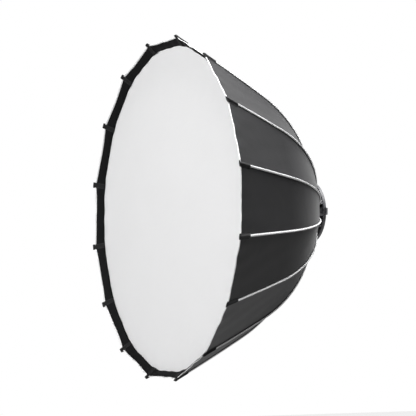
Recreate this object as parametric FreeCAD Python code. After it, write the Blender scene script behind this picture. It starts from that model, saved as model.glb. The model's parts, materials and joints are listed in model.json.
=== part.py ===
import FreeCAD, Part

import math
import os

from FreeCAD import Vector

# Sixteen-rib folding parabolic softbox. Millimetres, +Z up.
# The optical axis is Y: the opening faces -Y and the light is fixed from +Y.
# The origin is the centre of the bayonet ring's seat face.
# Everything that repeats is drawn once on the rib that lies along +X and turned about Y.

# ---- overall sizes -------------------------------------------------------------------
RIB_COUNT = 16
OPENING_R = 600.0            # axis to a rod at the rim plane
CANOPY_DEPTH = 575.0         # hinge axis to the rim plane
HINGE_R = 88.0               # axis to the hinge pins
HINGE_Y = -24.0              # plane of the hinge pins
TIP_BOW = math.radians(14.6)     # how far a rod turns from its chord at the tip
HUB_BOW = math.radians(24.5)     # and at its socket
FRONT_REACH = 148.0          # half the length of the nearly straight stretch at the tip

# ---- rods and sockets ----------------------------------------------------------------
ROD_R = 2.0
ROD_OVERRUN = 8.0            # rod past the rim plane, inside the tip pocket
CAP_R = 3.6
CAP_LENGTH = 8.0
CAP_WALL = 1.2
SOCKET_R = 5.2
SOCKET_REACH = 50.0          # hinge axis to the socket's mouth
SOCKET_GRIPS = 2             # grooves round the mouth
GRIP_PITCH = 5.0
GRIP_WIDTH = 1.5
GRIP_DEPTH = 0.6
SOCKET_SEAT = 20.0           # hinge axis to the bottom of the rod's hole
KNUCKLE_R = 7.5
KNUCKLE_SIDE = 0.3           # knuckle wider than its tube, each side
ROD_FIT = 0.03               # radial, rod in its socket and cap
PIN_R = 2.0
PIN_GRIP = 7.7               # pin held in the hub, each side of its slot
PIN_END_PLAY = 0.3
PIN_RUN = 0.05               # radial, knuckle on its pin
PIN_SEAT = 0.02              # radial, pin in the hub
KNUCKLE_GAP = 0.3            # each side of a knuckle in its slot
SLOT_CLEAR = 1.0             # knuckle to the slot's floor and back
OVERLAP = 1.0                # how far fused shapes run into each other

# ---- hub -----------------------------------------------------------------------------
EAR_WALL = 12.0              # hinge axis to the hub's outside
HUB_BORE_GAP = 3.5           # bayonet collar to the hub's bore
HUB_BACK_Y = -3.0
KEEPER_THICKNESS = 12.0
KEEPER_STEP = 4.0            # keeper's bore beyond the hub's
EDGE = 1.0                   # chamfer on the hub's moulded edges
JOINT_GAP = 0.05             # between faces that are bolted together

# ---- bayonet ring --------------------------------------------------------------------
BAYONET_BORE_R = 49.0
BAYONET_WALL = 3.5
BAYONET_RISE = 9.5           # collar's height above the seat face
FLANGE_WIDTH = 19.5
LUG_COUNT = 3
LUG_WIDTH = 8.0
LUG_THICKNESS = 3.0
LUG_TOP_GAP = 1.0            # collar's end to the lug's back
LUG_ANGLE = 32.0
LOCK_NOTCH_R = 3.2

# ---- screws --------------------------------------------------------------------------
SCREW_R = 1.5
SCREW_LENGTH = 18.0
SCREW_HEAD_R = 2.9
SCREW_HEAD_H = 1.6
SCREW_FIT = 0.05
RECESS_R = 0.9
RECESS_DEPTH = 1.1
SCREW_COUNT = 6              # on each side of the hub, the two sets half a pitch apart
SCREW_INSET = 5.5            # flange screws from the flange's edge

# ---- rear cover and release ring -----------------------------------------------------
COVER_THICKNESS = 2.4
COVER_SKIRT_WALL = 3.8
COVER_SKIRT_Y = -15.0
COVER_LIP = 2.5              # how far its back edge stands out behind the release ring
COVER_FIT = 0.2
RING_RUN = 0.1               # radial, release ring on the cover's skirt
RING_WALL = 7.0
RING_FRONT_Y = -14.0
RING_SIDE_GAP = 0.5
TAB_REACH = 14.0
TAB_WIDTH = 26.0
TAB_THICKNESS = 6.0
TAB_CORNER_R = 3.0
TAB_RIBS = 5
TAB_RIB_INSET = 3.5          # tab's ribs from its root and from its end
TAB_RIB_W = 1.6
TAB_RIB_H = 0.8
DOG_WIDTH = 6.0
DOG_WALL = 4.0
DOG_GAP = 0.5                # a dog's nose to the side of its socket
DOG_PAST = 3.0               # a dog's end past its socket's centre line
SPRING_WIRE_R = 0.4
SPRING_R = 2.2
SPRING_TURNS = 6
SPRING_Y = -18.6
SPRING_GAP = 0.3
SPRING_END_TRIM = 3.0        # the posts stand on an arc, so the straight spring stops earlier
POST_WIDTH = 4.0
POST_CLEAR = 21.0            # a dog's back to the spring's post
SPRING_SIDES = (0, RIB_COUNT // 2)

# ---- fabric --------------------------------------------------------------------------
CLOTH = 2.0                  # thickness of the solids that stand for sewn cloth
CLOTH_DROP = 0.5             # rod's underside to the cloth
SEAM_GAP = 0.3               # between neighbouring panels
HEM_GAP = 4.0                # socket's mouth to the panels' inner hem, along the rod
LIP_BACK = 24.0              # rim to the front diffuser's edge, along Y
LIP_IN = 22.0                # and towards the axis
DIFFUSER_THICKNESS = 1.5
DIFFUSER_GAP = 0.5
COLLAR_THICKNESS = 1.5
COLLAR_DROP = 1.5            # underside of the sockets to the collar
COLLAR_INSET = 3.5           # collar's inner edge inside the slots' floor
BAFFLE_R = 150.0
BAFFLE_SIDES = 8
BAFFLE_DEPTH = 230.0         # hinge plane to the baffle
BAFFLE_THICKNESS = 1.5
STRAP_WIDTH = 12.0
STRAP_THICKNESS = 1.2
STRAP_GAP = 0.5

PITCH = 360.0 / RIB_COUNT
HALF_PITCH = math.radians(PITCH / 2)
FIRST_RIB = PITCH / 2        # degrees from +X towards +Z
RIM_Y = HINGE_Y - CANOPY_DEPTH
KNUCKLE_WIDTH = 2 * (SOCKET_R + KNUCKLE_SIDE)
SLOT_WIDTH = KNUCKLE_WIDTH + 2 * KNUCKLE_GAP
PIN_LENGTH = SLOT_WIDTH + 2 * PIN_GRIP
CANOPY_START = SOCKET_REACH + HEM_GAP
HUB_R = HINGE_R + EAR_WALL
BAYONET_R = BAYONET_BORE_R + BAYONET_WALL
HUB_BORE_R = BAYONET_R + HUB_BORE_GAP
KEEPER_BORE_R = HUB_BORE_R + KEEPER_STEP
KEEPER_FRONT_Y = HINGE_Y - KEEPER_THICKNESS
FLANGE_R = BAYONET_R + FLANGE_WIDTH
LUG_R = BAYONET_R + LUG_WIDTH
FLANGE_SCREW_R = FLANGE_R - SCREW_INSET
SLOT_FLOOR_R = HINGE_R - KNUCKLE_R - SLOT_CLEAR
SLOT_BACK_Y = HINGE_Y + KNUCKLE_R + SLOT_CLEAR
KEEPER_SCREW_R = (KEEPER_BORE_R + SLOT_FLOOR_R) / 2
COLLAR_BORE_R = SLOT_FLOOR_R - COLLAR_INSET
SKIRT_R = HUB_R + COVER_FIT + COVER_SKIRT_WALL
RING_BORE_R = SKIRT_R + RING_RUN
RING_R = RING_BORE_R + RING_WALL
CLOTH_OFFSET = ROD_R + CLOTH_DROP
DOG_START = SOCKET_R + DOG_GAP
BIG = 4 * OPENING_R
Y_AXIS = Vector(0, 1, 0)


def turned(shape, degrees):
    """A copy turned about the optical axis, from +X towards +Z."""
    copy = shape.copy()
    copy.rotate(Vector(0, 0, 0), Vector(0, -1, 0), degrees)
    return copy


def around(shape, count, first=0.0):
    """count copies, evenly spaced about the optical axis."""
    return [turned(shape, first + 360.0 * k / count) for k in range(count)]


def rib_angle(number):
    return FIRST_RIB + PITCH * number


def ring(inner, outer, y_low, y_high):
    """A plain washer about the optical axis."""
    face = Part.makePlane(outer - inner, y_high - y_low, Vector(inner, y_low, 0), Vector(0, 0, 1))
    return face.revolve(Vector(0, 0, 0), Y_AXIS, 360)


def block(x_low, x_high, y_low, y_high, z_low, z_high):
    corner = Vector(x_low, y_low, z_low)
    return Part.makeBox(x_high - x_low, y_high - y_low, z_high - z_low, corner)


def revolved(points):
    """A solid turned about the optical axis from an outline of (radius, y) points."""
    outline = [Vector(r, y, 0) for r, y in points]
    face = Part.Face(Part.makePolygon(outline + outline[:1]))
    return face.revolve(Vector(0, 0, 0), Y_AXIS, 360)


def along(start, direction, distance):
    return (start[0] + direction[0] * distance, start[1] + direction[1] * distance)


# ---- the rod's line in its own radial plane, as (radius, y) ----------------------------

def heading(angle):
    """A unit step that leaves the hub at this angle from straight ahead (-Y)."""
    return (math.sin(angle), -math.cos(angle))


CHORD_ANGLE = math.atan2(OPENING_R - HINGE_R, CANOPY_DEPTH)
HINGE = (HINGE_R, HINGE_Y)
HUB_HEADING = heading(CHORD_ANGLE + HUB_BOW)
TIP_HEADING = heading(CHORD_ANGLE - TIP_BOW)
HUB_SLOPE = HUB_HEADING[1] / HUB_HEADING[0]
HEM = along(HINGE, HUB_HEADING, CANOPY_START)
RIM_POINT = (OPENING_R, RIM_Y)


def rod_line():
    """The two tangent arcs from the panels' hem to the rim, each as (start, middle, end),
    with the heading at each of those points."""
    gap = (RIM_POINT[0] - HEM[0], RIM_POINT[1] - HEM[1])
    square = gap[0] ** 2 + gap[1] ** 2
    on_tip = gap[0] * TIP_HEADING[0] + gap[1] * TIP_HEADING[1]
    on_hub = gap[0] * HUB_HEADING[0] + gap[1] * HUB_HEADING[1]
    turn = TIP_HEADING[0] * HUB_HEADING[0] + TIP_HEADING[1] * HUB_HEADING[1]
    reach = (square / 2 - FRONT_REACH * on_tip) / (on_hub + FRONT_REACH * (1 - turn))
    corner_hub = along(HEM, HUB_HEADING, reach)
    corner_tip = along(RIM_POINT, TIP_HEADING, -FRONT_REACH)
    span = math.dist(corner_hub, corner_tip)
    middle = ((corner_tip[0] - corner_hub[0]) / span, (corner_tip[1] - corner_hub[1]) / span)
    joint = along(corner_hub, middle, reach)
    rear = arc_between(HEM, HUB_HEADING, joint, middle)
    front = arc_between(joint, middle, RIM_POINT, TIP_HEADING)
    return rear, front


def arc_between(start, start_heading, end, end_heading):
    """The arc's three points, each with its heading."""
    mean = (start_heading[0] + end_heading[0], start_heading[1] + end_heading[1])
    size = math.hypot(*mean)
    mean = (mean[0] / size, mean[1] / size)
    half_chord = math.dist(start, end) / 2
    cosine = mean[0] * start_heading[0] + mean[1] * start_heading[1]
    half_turn = math.acos(min(1.0, cosine))
    rise = half_chord * math.tan(half_turn / 2)
    outward = (-mean[1], mean[0])
    centre = ((start[0] + end[0]) / 2, (start[1] + end[1]) / 2)
    crown = along(centre, outward, rise)
    if math.dist(along(start, start_heading, 1.0), crown) > math.dist(start, crown):
        crown = along(centre, outward, -rise)
    return (start, start_heading), (crown, mean), (end, end_heading)


def shifted(point_and_heading, inwards):
    """A point of the rod's line, moved square to it towards the inside of the canopy."""
    point, step = point_and_heading
    return along(point, (step[1], -step[0]), inwards)


ROD_ARCS = rod_line()


def line_at(y):
    """Where the rod's line crosses a plane square to the axis, and its direction there."""
    for arc in ROD_ARCS:
        (start, _), (crown, _), (end, _) = arc
        if end[1] <= y <= start[1]:
            curve = Part.Arc(flat(start), flat(crown), flat(end))
            low, high = curve.FirstParameter, curve.LastParameter
            for _ in range(50):
                middle = (low + high) / 2
                point = curve.value(middle)
                if (point.y < y) == (curve.value(high).y < y):
                    high = middle
                else:
                    low = middle
            return curve.value(low), curve.tangent(low)[0]
    raise ValueError("the rod's line doesn't reach this plane")


def flat(point, squeeze=1.0):
    """A (radius, y) point in the XY plane; squeeze scales its radius."""
    return Vector(point[0] * squeeze, point[1], 0)


# ---- rods, caps and sockets ----------------------------------------------------------------

def bent_rod(arc):
    """The stretch of rod along one arc."""
    (start, step), (crown, _), (end, end_step) = arc
    curve = Part.Arc(flat(start), flat(crown), flat(end)).toShape().Curve
    section = Part.Face(Part.Wire(Part.makeCircle(ROD_R, flat(start), flat(step))))
    turn = flat(step).getAngle(flat(end_step))
    return section.revolve(curve.Center, Vector(0, 0, -1), math.degrees(turn))


def make_rod():
    """A spring-steel rod from the bottom of its socket to just past the rim, and its end cap."""
    seat = along(HINGE, HUB_HEADING, SOCKET_SEAT)
    tip = flat(TIP_HEADING)
    rod = Part.makeCylinder(ROD_R, CANOPY_START - SOCKET_SEAT, flat(seat), flat(HUB_HEADING))
    end = Part.makeCylinder(ROD_R, ROD_OVERRUN, flat(RIM_POINT), tip)
    rod = rod.multiFuse([bent_rod(arc) for arc in ROD_ARCS] + [end]).removeSplitter()

    cap_start = flat(RIM_POINT) + tip * (ROD_OVERRUN + ROD_FIT + CAP_WALL - CAP_LENGTH)
    cap_end = cap_start + tip * CAP_LENGTH
    cap = Part.makeCylinder(CAP_R, CAP_LENGTH, cap_start, tip)
    rounded = [edge for edge in cap.Edges if edge.CenterOfMass.distanceToPoint(cap_end) < EDGE]
    cap = cap.makeFillet(CAP_R / 2, rounded)
    hole = Part.makeCylinder(ROD_R + ROD_FIT, CAP_LENGTH - CAP_WALL, cap_start, tip)
    return [rod, cap.cut(hole)]


def make_socket():
    """The moulded arm that turns on the hinge pin and holds the rod."""
    direction = flat(HUB_HEADING)
    hinge = flat(HINGE)
    side = Vector(0, 0, KNUCKLE_WIDTH / 2)
    knuckle = Part.makeCylinder(KNUCKLE_R, KNUCKLE_WIDTH, hinge - side, side)
    tube = Part.makeCylinder(SOCKET_R, SOCKET_REACH, hinge, direction)
    arm = knuckle.fuse(tube).removeSplitter()
    pin_hole = Part.makeCylinder(PIN_R + PIN_RUN, 2 * KNUCKLE_WIDTH, hinge - side * 2, side)
    rod_hole = Part.makeCylinder(ROD_R + ROD_FIT, SOCKET_REACH, hinge + direction * SOCKET_SEAT, direction)
    arm = arm.cut(pin_hole).cut(rod_hole)
    for number in range(SOCKET_GRIPS):
        start = hinge + direction * (SOCKET_REACH - GRIP_PITCH * (number + 1))
        groove = Part.makeCylinder(SOCKET_R + OVERLAP, GRIP_WIDTH, start, direction)
        core = Part.makeCylinder(SOCKET_R - GRIP_DEPTH, GRIP_WIDTH, start, direction)
        arm = arm.cut(groove.cut(core))
    return arm


# ---- hub -----------------------------------------------------------------------------

def hinge_slots():
    """The sixteen slots that the knuckles turn in, open outwards and to the front."""
    reach = 2 * HUB_R
    slot = block(SLOT_FLOOR_R, reach, 2 * KEEPER_FRONT_Y, SLOT_BACK_Y, -SLOT_WIDTH / 2, SLOT_WIDTH / 2)
    return around(slot, RIB_COUNT, FIRST_RIB)


def pin_at(radius, length):
    start = Vector(HINGE_R, HINGE_Y, -length / 2)
    return Part.makeCylinder(radius, length, start, Vector(0, 0, 1))


def pin_grooves():
    return around(pin_at(PIN_R + PIN_SEAT, PIN_LENGTH + PIN_END_PLAY), RIB_COUNT, FIRST_RIB)


def make_screw(radius, y, side):
    """A countersunk screw whose flat head lies at y and whose shank runs away from side."""
    away = Vector(0, -side, 0)
    top = Vector(radius, y, 0)
    head = Part.makeCone(SCREW_HEAD_R, SCREW_R, SCREW_HEAD_H, top, away)
    shank = Part.makeCylinder(SCREW_R, SCREW_LENGTH, top, away)
    recess = Part.makeCylinder(RECESS_R, RECESS_DEPTH, top, away)
    return head.fuse(shank).removeSplitter().cut(recess)


def screw_hole(radius, y, side):
    """The same outline, larger by the fit, and open past the head."""
    away = Vector(0, -side, 0)
    top = Vector(radius, y, 0)
    head = Part.makeCone(SCREW_HEAD_R + SCREW_FIT, SCREW_R + SCREW_FIT, SCREW_HEAD_H + SCREW_FIT, top, away)
    shank = Part.makeCylinder(SCREW_R + SCREW_FIT, SCREW_LENGTH + 2 * SCREW_FIT, top, away)
    return head.fuse(shank)


def flange_screws(make):
    return around(make(FLANGE_SCREW_R, 0.0, 1), SCREW_COUNT, 180.0 / SCREW_COUNT)


def keeper_screws(make):
    return around(make(KEEPER_SCREW_R, KEEPER_FRONT_Y, -1), SCREW_COUNT)


def make_hub_ring():
    """The moulded rear half of the hub: slots, pin grooves and screw holes."""
    body = revolved([
        (HUB_BORE_R, HINGE_Y),
        (HUB_R, HINGE_Y),
        (HUB_R, HUB_BACK_Y - EDGE),
        (HUB_R - EDGE, HUB_BACK_Y),
        (HUB_BORE_R + EDGE, HUB_BACK_Y),
        (HUB_BORE_R, HUB_BACK_Y - EDGE),
    ])
    holes = hinge_slots() + pin_grooves() + flange_screws(screw_hole) + keeper_screws(screw_hole)
    return body.cut(Part.makeCompound(holes))


def make_keeper_ring():
    """The front half, which closes the pin grooves."""
    back = HINGE_Y - JOINT_GAP
    body = revolved([
        (KEEPER_BORE_R, KEEPER_FRONT_Y + EDGE),
        (KEEPER_BORE_R + EDGE, KEEPER_FRONT_Y),
        (HUB_R - EDGE, KEEPER_FRONT_Y),
        (HUB_R, KEEPER_FRONT_Y + EDGE),
        (HUB_R, back),
        (KEEPER_BORE_R, back),
    ])
    return body.cut(Part.makeCompound(hinge_slots() + pin_grooves() + keeper_screws(screw_hole)))


def make_bayonet_ring():
    """Three-lug bayonet: seat flange, collar and lugs, with a notch for the light's lock pin."""
    flange_front = HUB_BACK_Y + JOINT_GAP
    body = revolved([
        (BAYONET_BORE_R, flange_front),
        (FLANGE_R, flange_front),
        (FLANGE_R, 0.0),
        (BAYONET_R, 0.0),
        (BAYONET_R, BAYONET_RISE - EDGE),
        (BAYONET_R - EDGE, BAYONET_RISE),
        (BAYONET_BORE_R, BAYONET_RISE),
    ])
    lug_top = BAYONET_RISE - LUG_TOP_GAP
    face = Part.makePlane(
        LUG_R - BAYONET_R + OVERLAP,
        LUG_THICKNESS,
        Vector(BAYONET_R - OVERLAP, lug_top - LUG_THICKNESS, 0),
        Vector(0, 0, 1),
    )
    lug = face.revolve(Vector(0, 0, 0), Vector(0, -1, 0), LUG_ANGLE)
    notch_low = Vector(LUG_R, lug_top - LUG_THICKNESS - OVERLAP, 0)
    notch = Part.makeCylinder(LOCK_NOTCH_R, LUG_THICKNESS + 2 * OVERLAP, notch_low, Y_AXIS)
    lugs = around(turned(lug, -LUG_ANGLE / 2), LUG_COUNT, 90.0)
    body = body.multiFuse(lugs).removeSplitter()
    body = body.cut(turned(notch, 90.0))
    return body.cut(Part.makeCompound(flange_screws(screw_hole)))


def post_centre():
    """Distance along the tangent from a socket's plane to the middle of a spring post."""
    return DOG_START + DOG_WIDTH + POST_CLEAR + POST_WIDTH / 2


def make_rear_cover():
    """The moulded shell behind the hub; the release ring turns on its skirt."""
    skirt_bore = HUB_R + COVER_FIT
    plate_low = HUB_BACK_Y + JOINT_GAP
    plate_high = HUB_BACK_Y + COVER_THICKNESS
    body = revolved([
        (FLANGE_R + COVER_FIT, plate_low),
        (skirt_bore, plate_low),
        (skirt_bore, COVER_SKIRT_Y),
        (SKIRT_R, COVER_SKIRT_Y),
        (SKIRT_R, plate_low),
        (SKIRT_R + COVER_LIP, plate_low),
        (SKIRT_R + COVER_LIP, plate_high - EDGE),
        (SKIRT_R + COVER_LIP - EDGE, plate_high),
        (FLANGE_R + COVER_FIT, plate_high),
    ])
    half = POST_WIDTH / 2
    across = post_centre()
    outer = RING_BORE_R + DOG_WALL
    low = SPRING_Y - SPRING_R - SPRING_WIRE_R
    root = COVER_SKIRT_Y + EDGE
    angle = math.degrees(math.atan2(across, RING_BORE_R))
    post = block(skirt_bore + COVER_FIT, SKIRT_R, low, root, -half, half)
    post = post.fuse(block(SKIRT_R - EDGE, outer, low, COVER_SKIRT_Y, -half, half)).removeSplitter()
    posts = [turned(post, rib_angle(number) + angle) for number in SPRING_SIDES]
    return body.multiFuse(posts).removeSplitter()


def make_release_ring():
    """The ring that frees all sockets: two thumb tabs, and one lock dog beside each socket."""
    back = HUB_BACK_Y + JOINT_GAP - RING_SIDE_GAP
    body = ring(RING_BORE_R, RING_R, RING_FRONT_Y, back)
    tab_low = (RING_FRONT_Y + back - TAB_THICKNESS) / 2
    tab_high = tab_low + TAB_THICKNESS
    root, end = RING_R - TAB_CORNER_R, RING_R + TAB_REACH
    tab = block(root, end, tab_low, tab_high, -TAB_WIDTH / 2, TAB_WIDTH / 2)
    corners = []
    for edge in tab.Edges:
        middle = edge.CenterOfMass
        if middle.isEqual(Vector(end, middle.y, math.copysign(TAB_WIDTH / 2, middle.z)), JOINT_GAP):
            corners.append(edge)
    tab = tab.makeFillet(TAB_CORNER_R, corners)
    ribs = []
    step = TAB_WIDTH / (TAB_RIBS + 1)
    for number in range(TAB_RIBS):
        middle = step * (number + 1) - TAB_WIDTH / 2
        low, high = middle - TAB_RIB_W / 2, middle + TAB_RIB_W / 2
        near, far = RING_R + TAB_RIB_INSET, end - TAB_RIB_INSET
        ribs.append(block(near, far, tab_high, tab_high + TAB_RIB_H, low, high))
    tab = tab.multiFuse(ribs)
    outer = RING_BORE_R + DOG_WALL
    dog = block(
        RING_BORE_R + RING_SIDE_GAP,
        outer,
        HINGE_Y + (outer - HINGE_R) * HUB_SLOPE - DOG_PAST,
        RING_FRONT_Y + EDGE,
        DOG_START,
        DOG_START + DOG_WIDTH,
    )
    pieces = around(tab, 2, 0.0) + around(dog, RIB_COUNT, FIRST_RIB)
    return body.multiFuse(pieces).removeSplitter()


def make_return_spring():
    """One coil spring between a dog's back and its post, beside the rib along +X."""
    start = DOG_START + DOG_WIDTH + SPRING_GAP + SPRING_WIRE_R
    end = start + POST_CLEAR - 2 * (SPRING_GAP + SPRING_WIRE_R) - SPRING_END_TRIM
    pitch = (end - start) / SPRING_TURNS
    helix = Part.makeHelix(pitch, end - start, SPRING_R)
    section = Part.Wire(Part.makeCircle(SPRING_WIRE_R, Vector(SPRING_R, 0, 0), Vector(0, 1, 0)))
    coil = Part.Wire(helix).makePipeShell([section], True, True)
    coil.translate(Vector(RING_BORE_R + DOG_WALL / 2, SPRING_Y, start))
    return coil


# ---- fabric --------------------------------------------------------------------------------

def canopy_face(inwards_low, inwards_high):
    """The strip between two offsets of the rod's line, from the inner hem to the rim, in the
    plane of a panel's middle. A panel is flat across, so its middle is nearer the axis."""
    squeeze = math.cos(HALF_PITCH)
    sides = []
    for inwards in (inwards_low, inwards_high):
        edges = []
        for arc in ROD_ARCS:
            edges.append([flat(shifted(point, inwards), squeeze) for point in arc])
        sides.append(edges)
    wire = []
    for points in sides[0]:
        wire.append(Part.Arc(*points).toShape())
    wire.append(Part.LineSegment(sides[0][1][2], sides[1][1][2]).toShape())
    for points in reversed(sides[1]):
        wire.append(Part.Arc(*points).toShape())
    wire.append(Part.LineSegment(sides[1][0][0], sides[0][0][0]).toShape())
    return Part.Face(Part.Wire(Part.__sortEdges__(wire)))


def lip_face():
    """The band that turns in from the rim to the front diffuser."""
    squeeze = math.cos(HALF_PITCH)
    rim = flat(shifted(ROD_ARCS[1][2], CLOTH_OFFSET), squeeze)
    size = math.hypot(LIP_IN, LIP_BACK)
    run = Vector(-LIP_IN / size, LIP_BACK / size, 0)
    side = Vector(LIP_BACK / size, LIP_IN / size, 0)
    tip = rim + run * size
    corners = [rim, tip, tip - side * CLOTH, rim - side * CLOTH]
    return Part.Face(Part.makePolygon(corners + corners[:1]))


def make_panel():
    """One canopy panel, centred on its rib: two flat-across halves that meet under the rod."""
    width = 2 * OPENING_R * math.sin(HALF_PITCH)
    half = []
    for face in (canopy_face(CLOTH_OFFSET, CLOTH_OFFSET + CLOTH), lip_face()):
        face.translate(Vector(0, 0, -SEAM_GAP / 2))
        solid = face.extrude(Vector(0, 0, -width))
        half.append(turned(solid, math.degrees(HALF_PITCH)))
    body = half[0].fuse(half[1]).removeSplitter()
    body = body.common(block(0, BIG, -BIG, BIG, 0, BIG))
    return body.fuse(body.mirror(Vector(0, 0, 0), Vector(0, 0, 1))).removeSplitter()


def diffuser_edge():
    """The front diffuser's edge at a panel's middle, as (distance from the axis, y)."""
    rim = shifted(ROD_ARCS[1][2], CLOTH_OFFSET)
    lip_wall = CLOTH * LIP_BACK / math.hypot(LIP_IN, LIP_BACK)
    apothem = rim[0] * math.cos(HALF_PITCH) - LIP_IN - lip_wall - DIFFUSER_GAP
    return apothem, rim[1] + LIP_BACK


def polygon_plate(apothem, sides, first, y_low, thickness):
    """A flat plate with straight sides, its first corner at an angle from +X towards +Z."""
    corners = []
    circle = apothem / math.cos(math.pi / sides)
    for number in range(sides):
        angle = math.radians(first) + 2 * math.pi * number / sides
        corners.append(Vector(circle * math.cos(angle), y_low, circle * math.sin(angle)))
    face = Part.Face(Part.makePolygon(corners + corners[:1]))
    return face.extrude(Vector(0, thickness, 0))


def make_front_diffuser():
    apothem, back = diffuser_edge()
    return polygon_plate(apothem, RIB_COUNT, FIRST_RIB, back - DIFFUSER_THICKNESS, DIFFUSER_THICKNESS)


def make_rear_collar():
    """The sleeve of black cloth from the hub's front face to the panels' inner hem."""
    under_hinge = HINGE_Y - (SOCKET_R + COLLAR_DROP) / HUB_HEADING[0]
    hem_r = HEM[0]
    front = KEEPER_FRONT_Y - JOINT_GAP
    bend_r = HINGE_R + (front - under_hinge) / HUB_SLOPE
    end = (hem_r, under_hinge + (hem_r - HINGE_R) * HUB_SLOPE)
    return revolved([
        (COLLAR_BORE_R, front),
        (bend_r, front),
        end,
        (end[0], end[1] - COLLAR_THICKNESS),
        (bend_r, front - COLLAR_THICKNESS),
        (COLLAR_BORE_R, front - COLLAR_THICKNESS),
    ])


def make_inner_baffle():
    low = HINGE_Y - BAFFLE_DEPTH
    apothem = BAFFLE_R * math.cos(math.pi / BAFFLE_SIDES)
    return polygon_plate(apothem, BAFFLE_SIDES, FIRST_RIB, low, BAFFLE_THICKNESS)


def make_baffle_straps():
    """Eight elastic straps from the baffle's corners to every second rib."""
    low = HINGE_Y - BAFFLE_DEPTH + (BAFFLE_THICKNESS - STRAP_THICKNESS) / 2
    high = low + STRAP_THICKNESS
    half = STRAP_WIDTH / 2
    point, step = line_at(high)
    cloth = (CLOTH_OFFSET + CLOTH) / abs(step.y) + half * math.tan(HALF_PITCH)
    strap = block(BAFFLE_R + STRAP_GAP, point.x - cloth - STRAP_GAP, low, high, -half, half)
    return around(strap, BAFFLE_SIDES, FIRST_RIB)


# ---- output ----------------------------------------------------------------------------

def write(name, shapes):
    """One STEP file per node; a node of several pieces is a compound of solids."""
    solids = []
    for shape in shapes:
        solids += shape.Solids
    body = solids[0] if len(solids) == 1 else Part.makeCompound(solids)
    body.exportStep(f"parts/{name}.step")


def main():
    os.makedirs("parts", exist_ok=True)
    write("bayonet_ring", [make_bayonet_ring()])
    write("hub_ring", [make_hub_ring()])
    write("keeper_ring", [make_keeper_ring()])
    write("hub_screws", flange_screws(make_screw) + keeper_screws(make_screw))
    write("hinge_pins", around(pin_at(PIN_R, PIN_LENGTH), RIB_COUNT, FIRST_RIB))
    write("rear_cover", [make_rear_cover()])
    write("release_ring", [make_release_ring()])
    write("return_springs", [turned(make_return_spring(), rib_angle(n)) for n in SPRING_SIDES])
    write("rear_collar", [make_rear_collar()])
    write("front_diffuser", [make_front_diffuser()])
    write("inner_baffle", [make_inner_baffle()])
    write("baffle_straps", make_baffle_straps())
    rod, socket, panel = make_rod(), make_socket(), make_panel()
    for number in range(RIB_COUNT):
        angle = rib_angle(number)
        label = f"{number + 1:02d}"
        write(f"rod_{label}", [turned(piece, angle) for piece in rod])
        write(f"socket_{label}", [turned(socket, angle)])
        write(f"canopy_panel_{label}", [turned(panel, angle)])


main()
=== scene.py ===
import json
import math

import bpy
import numpy as np
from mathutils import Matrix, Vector


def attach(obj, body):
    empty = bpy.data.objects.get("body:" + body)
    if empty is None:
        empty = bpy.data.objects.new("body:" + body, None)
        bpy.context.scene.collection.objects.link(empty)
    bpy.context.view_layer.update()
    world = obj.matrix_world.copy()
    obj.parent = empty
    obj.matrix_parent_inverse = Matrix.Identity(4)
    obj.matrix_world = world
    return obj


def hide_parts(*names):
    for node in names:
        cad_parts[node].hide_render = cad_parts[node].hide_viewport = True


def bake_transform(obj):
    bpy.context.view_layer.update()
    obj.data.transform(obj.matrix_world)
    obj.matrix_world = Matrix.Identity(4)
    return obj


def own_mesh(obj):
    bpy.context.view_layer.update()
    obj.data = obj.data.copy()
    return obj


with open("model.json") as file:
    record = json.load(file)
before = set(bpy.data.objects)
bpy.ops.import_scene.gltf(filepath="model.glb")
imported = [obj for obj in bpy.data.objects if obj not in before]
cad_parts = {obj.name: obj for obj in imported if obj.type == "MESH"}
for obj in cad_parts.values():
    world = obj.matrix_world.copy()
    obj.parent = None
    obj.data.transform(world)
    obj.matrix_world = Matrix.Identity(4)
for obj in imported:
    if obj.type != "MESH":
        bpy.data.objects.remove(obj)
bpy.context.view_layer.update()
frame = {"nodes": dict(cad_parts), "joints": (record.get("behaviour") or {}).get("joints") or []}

bl_info = {
    "name": "Folding parabolic softbox",
    "version": (1, 0, 0),
    "blender": (4, 5, 0),
    "location": "View3D > Sidebar > Softbox",
    "description": "Cloth, sleeves and finishes of a sixteen-rib folding softbox, round its frame",
    "category": "Mesh",
}

# Metres, +Z up. The optical axis is Y and the opening faces -Y.

# ---- sizes of the frame ---------------------------------------------------------------
RIBS = 16
PITCH = 2 * math.pi / RIBS
HINGE_R = 0.088
HINGE_Y = -0.024
OPENING_R = 0.600
DEPTH = 0.575
HUB_BOW = math.radians(24.5)
TIP_BOW = math.radians(14.6)
FRONT_REACH = 0.148
HEM_AT = 0.054               # along the rod from the hinge to the cloth
CLOTH_DROP = 0.0025          # rod's centre line to the cloth's outside
DIFFUSER_APOTHEM = 0.5665
DIFFUSER_Y = -0.5735
BAFFLE_Y = -0.25325
BAFFLE_R = 0.150
STRAP_END_R = 0.392
STRAP_WIDTH = 0.012
COLLAR_FRONT_Y = -0.0368
COLLAR_BORE_R = 0.0765
COLLAR_BEND_R = 0.0980
COLLAR_END = (0.1372, -0.0540)
PANEL_WIDTH = 0.234              # of the cloth between two ribs, at the rim
LIP_WIDTH = 0.033
LIP_INSET = 0.0015               # of the lip's inner edge from the diffuser's
LIP_CORNER = 0.007               # how far the lip's inner edge rounds off each corner
LIP_CORNER_RUN = 0.03
STEP = 1e-4                      # for slopes by central differences
FORWARD = np.array([0.0, -1.0, 0.0])

FOLD_JOINTS = [j for j in frame["joints"] if j["child"].startswith("rib_")]
FOLD = math.radians(FOLD_JOINTS[0]["range_deg"][1])


def rib_angle(number):
    """Angle of a rib from +X towards +Z; rib 0 is the first."""
    return PITCH / 2 + PITCH * number


def rib_name(number):
    return f"{number % RIBS + 1:02d}"


def outward(angle):
    return np.array([math.cos(angle), 0.0, math.sin(angle)])


def sideways(angle):
    return np.array([-math.sin(angle), 0.0, math.cos(angle)])


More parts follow.
